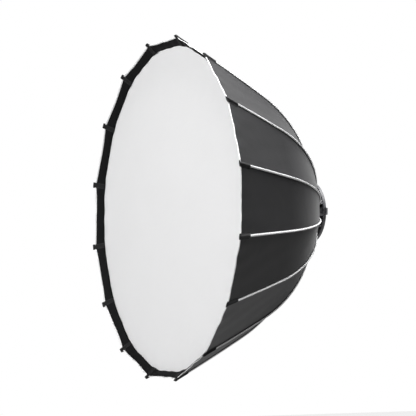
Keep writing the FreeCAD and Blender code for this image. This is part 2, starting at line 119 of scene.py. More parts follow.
def unit(vectors):
    return vectors / np.linalg.norm(vectors, axis=-1, keepdims=True)


def normals_of(surface, u, v):
    """Unit normals of the points that surface(u, v) gives."""
    by_u = surface(u + STEP, v) - surface(u - STEP, v)
    by_v = surface(u, v + STEP) - surface(u, v - STEP)
    return unit(np.cross(by_u, by_v))


# ---- the rod's line in its radial plane, as radius, y and angle from straight ahead --------

def heading(angle):
    return np.array([math.sin(angle), -math.cos(angle)])


def rod_stretches():
    """The rod's two tangent arcs, each as (start along the rod, start point, angle, radius)."""
    chord = math.atan2(OPENING_R - HINGE_R, DEPTH)
    hub, tip = chord + HUB_BOW, chord - TIP_BOW
    hem = np.array([HINGE_R, HINGE_Y]) + heading(hub) * HEM_AT
    rim = np.array([OPENING_R, HINGE_Y - DEPTH])
    gap = rim - hem
    reach = (gap @ gap / 2 - FRONT_REACH * gap @ heading(tip)) / (
        gap @ heading(hub) + FRONT_REACH * (1 - heading(tip) @ heading(hub))
    )
    corner_hub = hem + heading(hub) * reach
    corner_tip = rim - heading(tip) * FRONT_REACH
    across = (corner_tip - corner_hub) / np.linalg.norm(corner_tip - corner_hub)
    middle = math.atan2(across[0], -across[1])
    joint = corner_hub + across * reach
    rear_r = np.linalg.norm(joint - hem) / (2 * math.sin((hub - middle) / 2))
    front_r = np.linalg.norm(rim - joint) / (2 * math.sin((middle - tip) / 2))
    joint_at = HEM_AT + rear_r * (hub - middle)
    rim_at = joint_at + front_r * (middle - tip)
    return (HEM_AT, hem, hub, rear_r), (joint_at, joint, middle, front_r), (rim_at, rim, tip)


REAR, FRONT, RIM = rod_stretches()
RIM_AT = RIM[0]


def rod_at(along):
    """Radius, y and angle of the rod's line at distances from the hinge."""
    s = np.asarray(along, float)
    parts = []
    for start, point, angle, radius in (REAR, FRONT):
        turned = angle - (s - start) / radius
        r = point[0] + radius * (np.cos(turned) - math.cos(angle))
        y = point[1] + radius * (np.sin(turned) - math.sin(angle))
        parts.append((r, y, turned))
    for start, point, angle in ((0.0, np.array([HINGE_R, HINGE_Y]), REAR[2]), RIM):
        step = heading(angle)
        parts.append((point[0] + step[0] * (s - start), point[1] + step[1] * (s - start), angle + 0 * s))
    rear, front, straight, past = parts
    cases = [s < HEM_AT, s < FRONT[0], s <= RIM_AT]
    return [np.select(cases, [straight[k], rear[k], front[k]], past[k]) for k in range(3)]


def folded_share(along):
    """How narrow the cloth half-way between two ribs becomes at full fold, as a share of its width."""
    r, y, _ = rod_at(along)
    x = float(r) * math.cos(PITCH / 2) ** 2
    folded = HINGE_R + (x - HINGE_R) * math.cos(FOLD) + (float(y) - HINGE_Y) * math.sin(FOLD)
    return folded / x


RIM_KEEP = folded_share(RIM_AT - 0.05)


def rod_outward(angle, around):
    """Outward directions square to a rod's line, in the radial plane at an angle round the axis."""
    flat = np.cos(angle)
    return np.stack([flat * math.cos(around), np.sin(angle), flat * math.sin(around)], axis=-1)


# ---- the cloth's surface --------------------------------------------------------------------

def relief(panel, s, c, size):
    """How far a panel's cloth stands out from flat; nothing at its two ribs."""
    free = 1 - c * c
    run = np.clip((s - HEM_AT) / (RIM_AT - HEM_AT), 0, 1)
    near_rim = np.exp(-(RIM_AT - s) / 0.038)
    phase = 2.4 * panel
    out = -size.sag * free * np.sin(math.pi * run)
    out += size.pucker * near_rim * free * (np.sin(7.3 * c + phase) + 0.6 * np.sin(12.6 * c - 1.7 * phase))
    out += 0.35 * size.pucker * free * np.sin(9 * c + 17 * run + phase) * run * run
    return out


def rim_edge(panel, c, size):
    """Where the cloth ends along the rods: it hangs back between them, a little unevenly."""
    free = 1 - c * c
    return RIM_AT - size.hollow * free + 0.0009 * free * np.sin(math.pi * c + panel)


def panel_points(panel, s, c, size, drop=CLOTH_DROP):
    """Points of the cloth between a rib and the next one; c runs from -1 to 1 between them."""
    r, y, angle = rod_at(s)
    r, y = r - drop * np.cos(angle), y - drop * np.sin(angle)
    a, b = rib_angle(panel), rib_angle(panel + 1)
    near, far = (1 - c) / 2, (1 + c) / 2
    middle = (a + b) / 2
    lift = relief(panel, s, c, size)
    x = r * (near * math.cos(a) + far * math.cos(b)) + lift * np.cos(angle) * math.cos(middle)
    z = r * (near * math.sin(a) + far * math.sin(b)) + lift * np.cos(angle) * math.sin(middle)
    return np.stack([x, y + lift * np.sin(angle), z], axis=-1)


def panel_normals(panel, s, c, size):
    """The cloth's outward normals at the same places."""
    n = normals_of(lambda across, along: panel_points(panel, along, across, size), c, s)
    middle = (rib_angle(panel) + rib_angle(panel + 1)) / 2
    return n * np.sign((n * rod_outward(rod_at(s)[2], middle)).sum(-1, keepdims=True))


def lip_points(panel, c, v, size):
    """Points of the band inside the rim; v runs from 0 at the rim to 1 at the diffuser."""
    rim = panel_points(panel, rim_edge(panel, c, size) - 0.0008, c, size, CLOTH_DROP + 0.0011)
    middle = (rib_angle(panel) + rib_angle(panel + 1)) / 2
    inner_apothem = DIFFUSER_APOTHEM - LIP_INSET
    half = inner_apothem * math.tan(PITCH / 2)
    from_corner = (1 - np.abs(c)) * half
    round_off = LIP_CORNER * np.exp(-((from_corner / LIP_CORNER_RUN) ** 2) * 2)
    free = 1 - c * c
    wave = 0.0007 * free * np.sin(11 * c + 1.9 * panel)
    apothem = inner_apothem - round_off + wave
    along_side = (c * half * (apothem / inner_apothem))[..., None] * sideways(middle)
    inner = apothem[..., None] * outward(middle) + along_side - FORWARD * (DIFFUSER_Y - 0.0017)
    bow = np.sin(math.pi * v) * (0.0016 + 0.0009 * np.sin(8 * c + 2.3 * panel) * free)
    belly = (FORWARD - outward(middle)) * 0.7 * bow[..., None]
    return rim * (1 - v[..., None]) + inner * v[..., None] + belly


def halves(number, columns):
    """(panel, c values) for the two half panels that meet at a rib."""
    c = np.linspace(0, 1, columns + 1)
    return ((number - 1, c), (number, c - 1))


# ---- meshes ---------------------------------------------------------------------------------

def new_object(name, verts, faces, uvs, materials, indices=None):
    mesh = bpy.data.meshes.new(name)
    mesh.from_pydata([tuple(map(float, v)) for v in verts], [], [list(map(int, f)) for f in faces])
    layer = mesh.uv_layers.new(name="cloth")
    layer.data.foreach_set("uv", np.array([uvs[v] for f in faces for v in f], np.float32).ravel())
    for material in materials:
        mesh.materials.append(material)
    if indices is not None:
        mesh.polygons.foreach_set("material_index", np.array(indices, np.int32))
    mesh.update()
    obj = bpy.data.objects.new(name, mesh)
    bpy.context.scene.collection.objects.link(obj)
    return obj


def cloth(name, points, offsets, faces, corner_normals, uvs, thickness, materials):
    """A thin closed sheet: an outside with its own normals, an inside, and a rim.
    The first material is the outside's and the last the inside's."""
    points, offsets = np.asarray(points), np.asarray(offsets)
    count = len(points)
    a, b, c = (points[[f[k] for f in faces]] for k in range(3))
    if (np.cross(b - a, c - a) * np.array([n[0] for n in corner_normals])).sum() < 0:
        faces = [f[::-1] for f in faces]
        corner_normals = [n[::-1] for n in corner_normals]
    verts = np.concatenate([points, points - offsets * thickness])
    inside = [[v + count for v in reversed(f)] for f in faces]
    directed = {(f[k], f[(k + 1) % len(f)]) for f in faces for k in range(len(f))}
    border = sorted(e for e in directed if (e[1], e[0]) not in directed)
    rim = [[q, p, p + count, q + count] for p, q in border]
    normals = [n for face in corner_normals for n in face]
    normals += [-np.asarray(n) for face in corner_normals for n in reversed(face)]
    for face in rim:
        n = np.cross(verts[face[1]] - verts[face[0]], verts[face[2]] - verts[face[1]])
        normals += [n / max(np.linalg.norm(n), 1e-12)] * 4
    indices = [0] * len(faces) + [len(materials) - 1] * len(inside) + [0] * len(rim)
    obj = new_object(name, verts, faces + inside + rim, list(uvs) * 2, materials, indices)
    obj.data.polygons.foreach_set("use_smooth", [True] * len(obj.data.polygons))
    obj.data.normals_split_custom_set([tuple(map(float, n)) for n in normals])
    return obj


def grid_faces(rows, columns):
    """Quads of a grid of rows x columns points, by row."""
    faces = []
    for i in range(rows - 1):
        for j in range(columns - 1):
            p = i * columns + j
            faces.append([p, p + 1, p + columns + 1, p + columns])
    return faces


def grid_cloth(name, points, left, right, uvs, thickness, materials):
    """Cloth over a grid; left and right are the normals at a cell's two sides, which differ at a crease."""
    rows, columns = points.shape[:2]
    faces = grid_faces(rows, columns)
    corner_normals = []
    for i in range(rows - 1):
        for j in range(columns - 1):
            corner_normals.append([left[i, j], right[i, j], right[i + 1, j], left[i + 1, j]])
    offsets = np.zeros(points.shape)
    offsets[:, :-1] += left
    offsets[:, 1:] += right
    offsets /= np.linalg.norm(offsets, axis=-1, keepdims=True)
    flat = (-1, 3)
    return cloth(
        name, points.reshape(flat), offsets.reshape(flat), faces, corner_normals, uvs.reshape(-1, 2),
        thickness, materials,
    )


def join_halves(parts):
    """A creased grid's points, cell normals and UVs, from those of two half panels."""
    (points_a, normals_a, uvs_a), (points_b, normals_b, uvs_b) = parts
    return (
        np.concatenate([points_a, points_b[:, 1:]], axis=1),
        np.concatenate([normals_a[:, :-1], normals_b[:, :-1]], axis=1),
        np.concatenate([normals_a[:, 1:], normals_b[:, 1:]], axis=1),
        np.concatenate([uvs_a, uvs_b[:, 1:]], axis=1),
    )


def creased_grid(number, along, size, columns):
    """Points, cell normals and UVs over the two half panels at a rib.
    along(panel, c) gives the distances along the rod, one row of the grid after another."""
    parts = []
    for panel, c in halves(number, columns):
        s = along(panel, c)
        across = np.broadcast_to(c, s.shape)
        half = rod_at(s)[0] * math.sin(PITCH / 2)
        parts.append((
            panel_points(panel, s, across, size),
            panel_normals(panel, s, across, size),
            np.stack([half * across + 0.31 * panel, s], axis=-1),
        ))
    first, second = parts[0][2], parts[1][2]
    second[:, :, 0] += first[:, -1:, 0] - second[:, :1, 0]
    return join_halves(parts)


def fan_cloth(name, angles, edge, rings, surface, thickness, materials):
    """A sector of cloth from the axis out to its edge.
    surface(x, z) gives the cloth's y and its slopes by x and by z."""
    share = np.linspace(0, 1, rings + 1)[1:]
    rho = edge[None, :] * share[:, None]
    x = np.concatenate([[0.0], (rho * np.cos(angles)).ravel()])
    z = np.concatenate([[0.0], (rho * np.sin(angles)).ravel()])
    y, by_x, by_z = surface(x, z)
    normals = unit(np.stack([by_x, -np.ones(len(x)), by_z], axis=1))
    columns = len(angles)
    faces = [[0, 2 + j, 1 + j] for j in range(columns - 1)]
    faces += [[1 + v for v in f] for f in grid_faces(rings, columns)]
    corner_normals = [[normals[v] for v in f] for f in faces]
    return cloth(
        name, np.stack([x, y, z], axis=1), normals, faces, corner_normals, np.stack([x, z], axis=1),
        thickness, materials,
    )


def loft(name, sections, uvs, materials, sharp=math.radians(50)):
    """A closed tube through closed sections, capped at both ends."""
    rows, count = sections.shape[:2]
    faces = []
    for i in range(rows - 1):
        for j in range(count):
            k = (j + 1) % count
            faces.append([i * count + j, i * count + k, (i + 1) * count + k, (i + 1) * count + j])
    faces.append(list(range(count))[::-1])
    faces.append([(rows - 1) * count + j for j in range(count)])
    points = sections.reshape(-1, 3)
    volume = 0.0
    centre = points.mean(0)
    for face in faces:
        for k in range(1, len(face) - 1):
            a, b, c = (points[face[m]] - centre for m in (0, k, k + 1))
            volume += float(a @ np.cross(b, c))
    if volume < 0:
        faces = [f[::-1] for f in faces]
    obj = new_object(name, points, faces, uvs.reshape(-1, 2), materials)
    obj.data.polygons.foreach_set("use_smooth", [True] * len(obj.data.polygons))
    obj.data.set_sharp_from_angle(angle=sharp)
    return obj


def rib_frame(number, s):
    """Points of a rib's line with its tangential and outward directions."""
    r, y, angle = rod_at(s)
    a = rib_angle(number)
    point = np.stack([r * math.cos(a), y, r * math.sin(a)], axis=-1)
    side = np.broadcast_to(sideways(a), point.shape)
    return point, side, rod_outward(angle, a)


def squash_to_rib(obj, number, keep):
    """The piece turns with its rib, with a mesh of its own."""
    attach(obj, f"rib_{rib_name(number)}")
    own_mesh(obj)


# ---- materials --------------------------------------------------------------------------------

def add(tree, kind, inputs=None, **settings):
    """A node with its settings, and its inputs given as values or linked sockets."""
    made = tree.nodes.new(kind)
    for key, value in settings.items():
        setattr(made, key, value)
    for key, value in (inputs or {}).items():
        if isinstance(value, bpy.types.NodeSocket):
            tree.links.new(value, made.inputs[key])
        else:
            made.inputs[key].default_value = value
    return made


def maths(tree, operation, a, b=0.0):
    return add(tree, "ShaderNodeMath", {0: a, 1: b}, operation=operation).outputs[0]


def waves(tree, value, rate):
    return maths(tree, "SINE", maths(tree, "MULTIPLY", value, rate))


def zero_to_one(tree, value):
    """A value between -1 and 1, moved to between 0 and 1."""
    moved = maths(tree, "MULTIPLY_ADD", value, 0.5)
    moved.node.inputs[2].default_value = 0.5
    return moved


def split(tree, vector):
    return add(tree, "ShaderNodeSeparateXYZ", {0: vector}).outputs


def noise(tree, vector, **values):
    """A noise texture's factor."""
    return add(tree, "ShaderNodeTexNoise", {"Vector": vector, **values}).outputs["Fac"]


def start_group(name, **values):
    """An empty effect group and its inputs: a Vector, and named values with their defaults."""
    group = bpy.data.node_groups.new(name, "ShaderNodeTree")
    group.interface.new_socket(name="Vector", in_out="INPUT", socket_type="NodeSocketVector")
    for label, value in values.items():
        socket = group.interface.new_socket(name=label, in_out="INPUT", socket_type="NodeSocketFloat")
        socket.default_value = value
    return group, group.nodes.new("NodeGroupInput").outputs


def end_group(group, **results):
    """Give an effect group its outputs."""
    for label in results:
        group.interface.new_socket(name=label, in_out="OUTPUT", socket_type="NodeSocketFloat")
    last = group.nodes.new("NodeGroupOutput")
    for label, value in results.items():
        group.links.new(value, last.inputs[label])


def build_weave():
    """Plain weave: crossing threads, and a slow change of shade from one patch to another."""
    group, given = start_group("plain_weave", Threads=1800.0)
    place = split(group, given["Vector"])
    warp, weft = (waves(group, place[k], given["Threads"]) for k in (0, 1))
    height = zero_to_one(group, maths(group, "MULTIPLY", warp, weft))
    end_group(group, Height=height, Shade=noise(group, given["Vector"], Scale=9.0, Detail=5.0))


def build_twill():
    """Diagonal ribs of a heavy tape, with the threads that cross them."""
    group, given = start_group("tape_twill", Ribs=900.0)
    place = split(group, given["Vector"])
    slope = maths(group, "ADD", place[0], maths(group, "MULTIPLY", place[1], 0.8))
    wobble = noise(group, given["Vector"], Scale=160.0)
    slope = maths(group, "ADD", slope, maths(group, "MULTIPLY", wobble, 0.0009))
    stripe = zero_to_one(group, waves(group, slope, given["Ribs"]))
    cross = maths(group, "MULTIPLY", waves(group, place[1], 5200.0), 0.12)
    end_group(group, Height=maths(group, "ADD", stripe, cross), Stripe=stripe)


def build_rumple():
    """Slack left in sewn cloth: broad soft waves and fine creases."""
    group, given = start_group("cloth_rumple", Scale=7.0)
    broad = noise(group, given["Vector"], Scale=given["Scale"], Detail=3.0, Distortion=0.6)
    fine_scale = maths(group, "MULTIPLY", given["Scale"], 6.0)
    fine = noise(group, given["Vector"], Scale=fine_scale, Detail=4.0, Distortion=1.2)
    ridge = maths(group, "ABSOLUTE", maths(group, "SUBTRACT", fine, 0.5))
    height = maths(group, "SUBTRACT", broad, maths(group, "MULTIPLY", ridge, 0.35))
    end_group(group, Height=height, Shade=broad)


def build_stitches():
    """Rows of short stitches along the piece, at a distance each side of its middle."""
    group, given = start_group("stitch_rows", Offset=0.007, Pitch=0.0034, Width=0.0005)
    place = split(group, given["Vector"])
    away = maths(group, "SUBTRACT", maths(group, "ABSOLUTE", place[0]), given["Offset"])
    on_row = maths(group, "LESS_THAN", maths(group, "ABSOLUTE", away), given["Width"])
    turn = maths(group, "FRACT", maths(group, "DIVIDE", place[1], given["Pitch"]))
    dash = maths(group, "LESS_THAN", turn, 0.68)
    end_group(group, Mask=maths(group, "MULTIPLY", on_row, dash))


def build_grain():
    """The fine spark-eroded grain of a moulding, and the light scuffs of handling."""
    group, given = start_group("moulded_grain", Scale=900.0)
    grain = noise(group, given["Vector"], Scale=given["Scale"], Detail=2.0)
    scuff = noise(group, given["Vector"], Scale=45.0, Detail=8.0, Roughness=0.7)
    ramp = add(group, "ShaderNodeMapRange", {"Value": scuff, "From Min": 0.5, "From Max": 0.72})
    end_group(group, Height=grain, Scuff=ramp.outputs["Result"])


def build_drawn_metal():
    """Fine lines left on metal by turning or drawing, and dull patches."""
    group, given = start_group("drawn_metal", Scale=300.0)
    stretched = add(group, "ShaderNodeMapping", {"Vector": given["Vector"], "Scale": (1.0, 14.0, 1.0)})
    lines = noise(group, stretched.outputs["Vector"], Scale=given["Scale"], Detail=3.0)
    end_group(group, Height=lines, Dull=noise(group, given["Vector"], Scale=30.0, Detail=5.0))


def effect(tree, name, vector, **values):
    """The outputs of one of the effect groups, placed in a material."""
    made = add(tree, "ShaderNodeGroup", node_tree=bpy.data.node_groups[name])
    tree.links.new(vector, made.inputs["Vector"])
    for key, value in values.items():
        made.inputs[key].default_value = value
    return made.outputs


def start_material(name, **shader_values):
    """A new material's tree and Principled shader."""
    made = bpy.data.materials.new(name)
    made.use_nodes = True
    shader = next(n for n in made.node_tree.nodes if n.type == "BSDF_PRINCIPLED")
    for key, value in shader_values.items():
        shader.inputs[key.replace("_", " ").title().replace("Ior", "IOR")].default_value = value
    return made.node_tree, shader


def cloth_uv(tree):
    return add(tree, "ShaderNodeUVMap", uv_map="cloth").outputs["UV"]


def own_place(tree):
    """The piece's own coordinates."""
    return add(tree, "ShaderNodeTexCoord").outputs["Object"]


def colour_mix(tree, factor):
    """A colour mix's two colour inputs and its result."""
    mixed = add(tree, "ShaderNodeMix", {0: factor}, data_type="RGBA")
    first, second = (s for s in mixed.inputs if s.type == "RGBA")
    return first, second, next(s for s in mixed.outputs if s.type == "RGBA")


def blend_colour(tree, factor, dark, light):
    first, second, result = colour_mix(tree, factor)
    first.default_value = (*dark, 1)
    second.default_value = (*light, 1)
    return result


def mix_in(tree, factor, base, colour):
    """base with a plain colour laid over it where factor is 1."""
    first, second, result = colour_mix(tree, factor)
    tree.links.new(base, first)
    second.default_value = (*colour, 1)
    return result


def remap(tree, value, low, high):
    return add(tree, "ShaderNodeMapRange", {"Value": value, "To Min": low, "To Max": high}).outputs["Result"]


def shade(colour, factor):
    return tuple(min(1.0, c * factor) for c in colour)


def finish_material(tree, shader, base, rough, layers):
    """Link colour and roughness, and bumps in a row, one for each (height, strength, distance)."""
    tree.links.new(base, shader.inputs["Base Color"])
    tree.links.new(rough, shader.inputs["Roughness"])
    previous = None
    for height, strength, distance in layers:
        bump = add(tree, "ShaderNodeBump", {"Height": height, "Strength": strength, "Distance": distance})
        if previous is not None:
            tree.links.new(previous, bump.inputs["Normal"])
        previous = bump.outputs["Normal"]
    tree.links.new(previous, shader.inputs["Normal"])


def cloth_material(name, colour, rough, threads=1800.0, rumple=7.0, swing=0.25, **shader_values):
    """Woven cloth: weave, slack, and a slow change of shade."""
    tree, shader = start_material(name, **shader_values)
    weave = effect(tree, "plain_weave", cloth_uv(tree), Threads=threads)
    slack = effect(tree, "cloth_rumple", own_place(tree), Scale=rumple)
    base = blend_colour(tree, weave["Shade"], shade(colour, 1 - swing), shade(colour, 1 + swing))
    finish_material(
        tree, shader, base, remap(tree, slack["Shade"], rough - 0.06, rough + 0.06),
        [(slack["Height"], 0.25, 0.004), (weave["Height"], 0.3, 0.0002)],
    )


def lining_material(colours):
    """The silver inside: creased metallic coating over the weave."""
    tree, shader = start_material("silver_lining", metallic=0.9)
    weave = effect(tree, "plain_weave", cloth_uv(tree), Threads=1500.0)
    slack = effect(tree, "cloth_rumple", own_place(tree), Scale=30.0)
    base = blend_colour(tree, slack["Shade"], shade(colours.lining, 0.85), colours.lining)
    finish_material(
        tree, shader, base, remap(tree, slack["Shade"], 0.28, 0.5),
        [(slack["Height"], 0.4, 0.002), (weave["Height"], 0.4, 0.0003)],
    )


def sleeve_material(colours):
    """Heavy pale tape with diagonal ribs, and a painted shadow line in the canopy's black along each edge."""
    edge_shadow_at = 0.0040
    tree, shader = start_material("twill_tape", roughness=0.75)
    uv = cloth_uv(tree)
    twill = effect(tree, "tape_twill", uv, Ribs=900.0)
    slack = effect(tree, "cloth_rumple", own_place(tree), Scale=40.0)
    base = blend_colour(tree, twill["Stripe"], colours.tape_dark, colours.tape)
    base = mix_in(tree, maths(tree, "MULTIPLY", slack["Shade"], 0.25), base, shade(colours.tape, 0.7))
    # Beyond 4 mm from the middle, each edge of the tape is painted in the canopy's black: a painted shadow
    # line where the sleeve meets the cloth.
    edge = maths(tree, "GREATER_THAN", maths(tree, "ABSOLUTE", split(tree, uv)[0]), edge_shadow_at)
    base = mix_in(tree, edge, base, colours.canopy)
    finish_material(
        tree, shader, base, remap(tree, twill["Height"], 0.82, 0.68), [(twill["Height"], 0.6, 0.0005)],
    )


def pocket_material(colours):
    """Black webbing with two rows of stitches."""
    tree, shader = start_material("black_webbing", roughness=0.8, specular_ior_level=0.25)
    uv = cloth_uv(tree)
    weave = effect(tree, "plain_weave", uv, Threads=3200.0)
    stitches = effect(tree, "stitch_rows", uv, Offset=0.0082)
    base = blend_colour(tree, weave["Height"], shade(colours.pocket, 0.6), shade(colours.pocket, 1.4))
    base = mix_in(tree, stitches["Mask"], base, (0.05, 0.05, 0.052))
    finish_material(
        tree, shader, base, remap(tree, weave["Height"], 0.78, 0.6),
        [(weave["Height"], 0.6, 0.0004), (stitches["Mask"], 0.8, 0.0005)],
    )


def elastic_material(colours):
    """Ribbed black elastic."""
    tree, shader = start_material("black_elastic", roughness=0.8)
    twill = effect(tree, "tape_twill", cloth_uv(tree), Ribs=2400.0)
    base = blend_colour(tree, twill["Stripe"], shade(colours.pocket, 0.7), shade(colours.pocket, 1.5))
    finish_material(
        tree, shader, base, remap(tree, twill["Stripe"], 0.85, 0.7), [(twill["Height"], 0.5, 0.0004)],
    )


def diffuser_material(name, colours, hemmed=False):
    """White translucent nylon: a little light passes through the weave."""
    hem = 0.0028
    tree, shader = start_material(
        name, subsurface_weight=0.12, sheen_weight=0.15, sheen_roughness=0.5, specular_ior_level=0.3,
    )
    shader.inputs["Subsurface Radius"].default_value = (0.004, 0.004, 0.004)
    weave = effect(tree, "plain_weave", cloth_uv(tree), Threads=2000.0)
    slack = effect(tree, "cloth_rumple", own_place(tree), Scale=5.0)
    base = blend_colour(tree, slack["Shade"], shade(colours.diffuser, 0.97), colours.diffuser)
    if hemmed:
        inwards = add(tree, "ShaderNodeAttribute", attribute_name="from_edge").outputs["Fac"]
        base = mix_in(tree, maths(tree, "LESS_THAN", inwards, hem), base, (0.97, 0.97, 0.97))
    finish_material(
        tree, shader, base, remap(tree, weave["Height"], 0.85, 0.72),
        [(slack["Height"], 0.22, 0.008), (weave["Height"], 0.25, 0.0002)],
    )


def moulding_material(name, colour, rough, scale=900.0):
    """Moulded plastic with grain, and paler scuffs."""
    tree, shader = start_material(name, specular_ior_level=0.45)
    grain = effect(tree, "moulded_grain", own_place(tree), Scale=scale)
    base = blend_colour(tree, grain["Scuff"], colour, shade(colour, 1.9))
    finish_material(
        tree, shader, base, remap(tree, grain["Scuff"], rough, rough + 0.16),
        [(grain["Height"], 0.35, 0.0003)],
    )


def metal_material(name, colour, rough, scale=300.0):
    """Metal with fine drawn lines and duller patches."""
    tree, shader = start_material(name, metallic=1.0)
    metal = effect(tree, "drawn_metal", own_place(tree), Scale=scale)
    base = blend_colour(tree, metal["Dull"], shade(colour, 0.8), shade(colour, 1.1))
    finish_material(
        tree, shader, base, remap(tree, metal["Dull"], rough - 0.08, rough + 0.12),
        [(metal["Height"], 0.15, 0.0002)],
    )


def material(name):
    return bpy.data.materials[name]


# ---- settings -----------------------------------------------------------------------------

def colour_property(label, about, default):
    return bpy.props.FloatVectorProperty(
        name=label, description=about, subtype="COLOR", size=3, min=0, max=1, default=default
    )


def length_property(label, about, default):
    return bpy.props.FloatProperty(
        name=label, description=about, unit="LENGTH", subtype="DISTANCE", default=default, min=0, precision=4
    )


def strength_property(label, about, default):
    return bpy.props.FloatProperty(name=label, description=about, default=default, min=0)


class SoftboxColours(bpy.types.PropertyGroup):
    """Colours of the cloth, tape and mouldings."""
    canopy: colour_property("Canopy", "Outside of the canopy", (0.014, 0.014, 0.015))
    lining: colour_property("Lining", "Inside of the canopy", (0.80, 0.80, 0.81))
    tape: colour_property("Tape", "Pale ribs of the rod sleeves' tape", (0.80, 0.80, 0.80))
    tape_dark: colour_property("Tape shade", "Dark ribs of the rod sleeves' tape", (0.42, 0.42, 0.43))
    pocket: colour_property("Pockets", "Webbing of the tip pockets and the straps", (0.007, 0.007, 0.0075))
    lip: colour_property("Lip", "Band round the opening", (0.0035, 0.0035, 0.004))
    diffuser: colour_property("Diffuser", "Front and inner diffusers", (0.83, 0.83, 0.835))
    hub: colour_property("Hub", "Hub mouldings", (0.030, 0.030, 0.032))


class SoftboxSizes(bpy.types.PropertyGroup):
    """Sizes of the cloth parts."""
    cloth: length_property("Cloth thickness", "Thickness of the canopy's two layers", 0.0009)
    sag: length_property("Panel sag", "How far a panel's middle lies below flat", 0.003)
    pucker: length_property("Puckers", "Height of the puckers at the rim", 0.0011)
    hollow: length_property("Rim hollow", "How far the rim hangs back between two rods", 0.0026)
    sleeve: length_property("Sleeve width", "Width of a rod's sleeve at the rim", 0.0104)
    pocket_width: length_property("Pocket width", "Width of a tip pocket", 0.0208)
    pocket_back: length_property("Pocket length", "Length of a tip pocket behind the rim", 0.048)
    pocket_front: length_property("Pocket tab", "How far a tip pocket stands past the rim", 0.0112)
    bands: bpy.props.IntProperty(
        name="Canopy bands", description="Lengths that each rib's cloth gathers in", default=9, min=3, max=16
    )
    columns: bpy.props.IntProperty(
        name="Columns", description="Mesh columns in half a panel", default=12, min=4, max=40
    )


class SoftboxStage(bpy.types.PropertyGroup):
    """Floor, light and camera."""
    floor: length_property("Floor drop", "From the optical axis down to the floor", 2.8)
    azimuth: bpy.props.FloatProperty(
        name="Azimuth", description="Camera's angle round the object", subtype="ANGLE",
        default=math.radians(64.593),
    )
    elevation: bpy.props.FloatProperty(
        name="Elevation", description="Camera's angle above the horizon", subtype="ANGLE",
        default=math.radians(-3.038),
    )
    distance: length_property("Distance", "Camera to the middle of the rim", 6.336)
    lens: bpy.props.FloatProperty(
        name="Lens", description="Focal length in millimetres on a 36 mm sensor", default=156.97, min=20
    )
    key: strength_property("Top light", "Power of the light above", 290.0)
    fill: strength_property("Low light", "Power of the light below", 4.0)
    front: strength_property("Front light", "Power of the light in front", 156.0)
    world: strength_property("Ambient", "Strength of the surroundings", 0.06)
    backdrop: strength_property("Backdrop", "Strength of the pale wall behind the object", 1.0)


# ---- operators -------------------------------------------------------------------------------

class SOFTBOX_OT_materials(bpy.types.Operator):
    """Make the effect groups and the materials"""
    bl_idname = "softbox.materials"
    bl_label = "Materials"

    def execute(self, context):
        colours = context.scene.softbox_colours
        for build in (build_weave, build_twill, build_rumple, build_stitches, build_grain, build_drawn_metal):
            build()
        cloth_material(
            "black_coated_polyester", tuple(colours.canopy), 0.42, sheen_weight=0.06, sheen_roughness=0.4,
            specular_ior_level=0.5,
        )
        lining_material(colours)
        sleeve_material(colours)
        pocket_material(colours)
        elastic_material(colours)
        diffuser_material("white_nylon", colours, hemmed=True)
        diffuser_material("baffle_nylon", colours)
        cloth_material("lip_polyester", tuple(colours.lip), 0.75, rumple=22.0, specular_ior_level=0.15)
        cloth_material("collar_polyester", tuple(colours.canopy), 0.6, rumple=30.0)
        cloth_material("edge_binding", tuple(colours.tape), 0.7, threads=3000.0, rumple=60.0, swing=0.12)
        moulding_material("hub_nylon", tuple(colours.hub), 0.48)
        moulding_material("cover_nylon", shade(colours.hub, 1.15), 0.42)
        moulding_material("socket_nylon", shade(colours.hub, 0.9), 0.5, scale=1400.0)
        moulding_material("release_nylon", shade(colours.hub, 2.6), 0.38)
        metal_material("satin_aluminium", (0.62, 0.63, 0.65), 0.34)
        metal_material("black_zinc", (0.12, 0.12, 0.125), 0.4, scale=700.0)
        metal_material("ground_steel", (0.6, 0.6, 0.62), 0.28, scale=900.0)
        metal_material("spring_wire", (0.5, 0.5, 0.52), 0.33, scale=1200.0)
        metal_material("rod_steel_satin", (0.55, 0.56, 0.58), 0.32, scale=500.0)
        return {"FINISHED"}


class SOFTBOX_OT_hardware(bpy.types.Operator):
    """Give the frame's hard parts their finishes"""
    bl_idname = "softbox.hardware"
    bl_label = "Hardware finishes"

    FINISHES = {
        "bayonet_aluminium": "satin_aluminium",
        "hub_plastic": "hub_nylon",
        "cover_plastic": "cover_nylon",
        "socket_plastic": "socket_nylon",
        "release_plastic": "release_nylon",
        "screw_steel": "black_zinc",
        "pin_steel": "ground_steel",
        "spring_steel": "spring_wire",
        "rod_steel": "rod_steel_satin",
    }

    def execute(self, context):
        for obj in frame["nodes"].values():
            for place, old in enumerate(obj.data.materials):
                if old.name in self.FINISHES:
                    obj.data.materials[place] = material(self.FINISHES[old.name])
        return {"FINISHED"}


